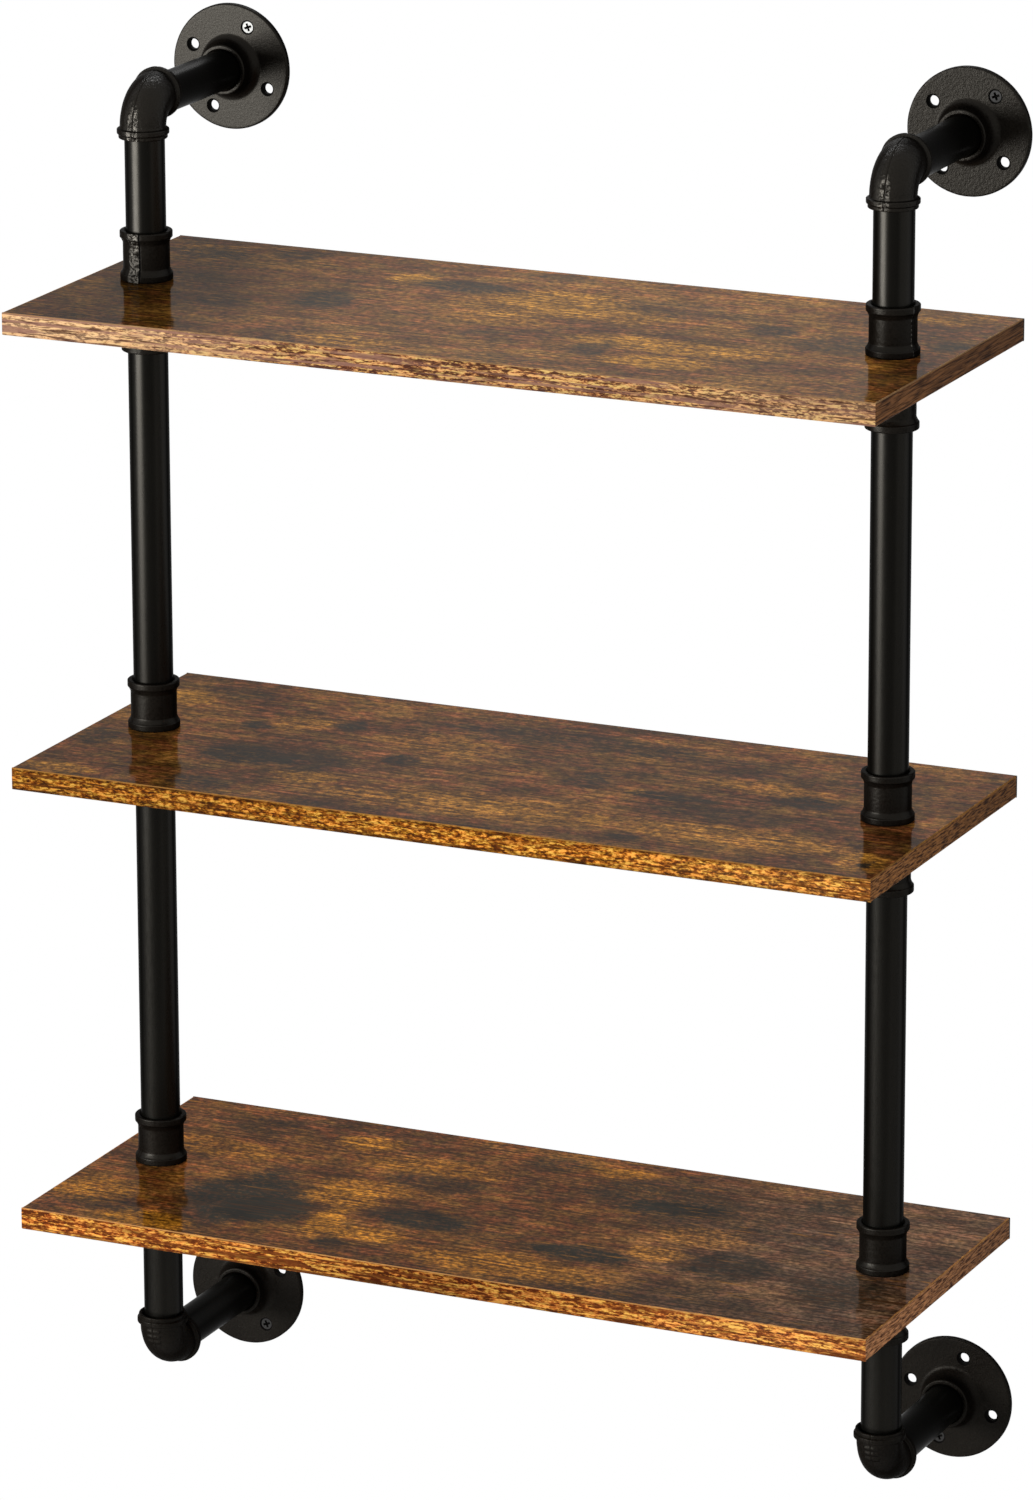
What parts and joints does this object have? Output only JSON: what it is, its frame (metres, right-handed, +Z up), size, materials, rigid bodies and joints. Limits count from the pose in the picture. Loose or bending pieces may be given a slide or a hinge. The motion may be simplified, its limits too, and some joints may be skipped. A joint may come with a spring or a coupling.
{
  "type": "floating wall shelf",
  "caption": "Wall shelf with laminated boards on two black iron pipe posts, held off the wall by elbowed arms and round floor flanges.",
  "frame": {"origin": "middle of the wall plane, halfway between the left and right posts and between the upper and lower arms", "axes": "+X to the right along the boards as seen from the room, +Y into the wall, +Z up"},
  "size_m": [0.615, 0.2782, 0.952],
  "materials": {
    "board_laminate": "rustic brown wood-print laminate, satin to gloss",
    "edge_band": "orange-brown printed edge band, satin",
    "black_pipe": "black paint on steel pipe, semi-matte",
    "cast_fitting": "black paint on rough cast iron, semi-matte",
    "wall_screw": "zinc-plated or blackened steel"
  },
  "bodies": {
    "root": {"arm_pipe_bottom_left": "black_pipe", "arm_pipe_bottom_right": "black_pipe", "arm_pipe_top_left": "black_pipe", "arm_pipe_top_right": "black_pipe", "board_nipple_bottom_left": "black_pipe", "board_nipple_bottom_right": "black_pipe", "board_nipple_middle_left": "black_pipe", "board_nipple_middle_right": "black_pipe", "board_nipple_top_left": "black_pipe", "board_nipple_top_right": "black_pipe", "bottom_pipe_left": "black_pipe", "bottom_pipe_right": "black_pipe", "coupling_over_bottom_left": "cast_fitting", "coupling_over_bottom_right": "cast_fitting", "coupling_over_middle_left": "cast_fitting", "coupling_over_middle_right": "cast_fitting", "coupling_over_top_left": "cast_fitting", "coupling_over_top_right": "cast_fitting", "coupling_under_bottom_left": "cast_fitting", "coupling_under_bottom_right": "cast_fitting", "coupling_under_middle_left": "cast_fitting", "coupling_under_middle_right": "cast_fitting", "coupling_under_top_left": "cast_fitting", "coupling_under_top_right": "cast_fitting", "edge_band_bottom": "edge_band", "edge_band_middle": "edge_band", "edge_band_top": "edge_band", "elbow_bottom_left": "cast_fitting", "elbow_bottom_right": "cast_fitting", "elbow_top_left": "cast_fitting", "elbow_top_right": "cast_fitting", "riser_pipe_lower_left": "black_pipe", "riser_pipe_lower_right": "black_pipe", "riser_pipe_upper_left": "black_pipe", "riser_pipe_upper_right": "black_pipe", "shelf_board_bottom": "board_laminate", "shelf_board_middle": "board_laminate", "shelf_board_top": "board_laminate", "top_pipe_left": "black_pipe", "top_pipe_right": "black_pipe", "wall_flange_bottom_left": "cast_fitting", "wall_flange_bottom_right": "cast_fitting", "wall_flange_top_left": "cast_fitting", "wall_flange_top_right": "cast_fitting", "wall_screws": "wall_screw"}
  },
  "joints": []
}
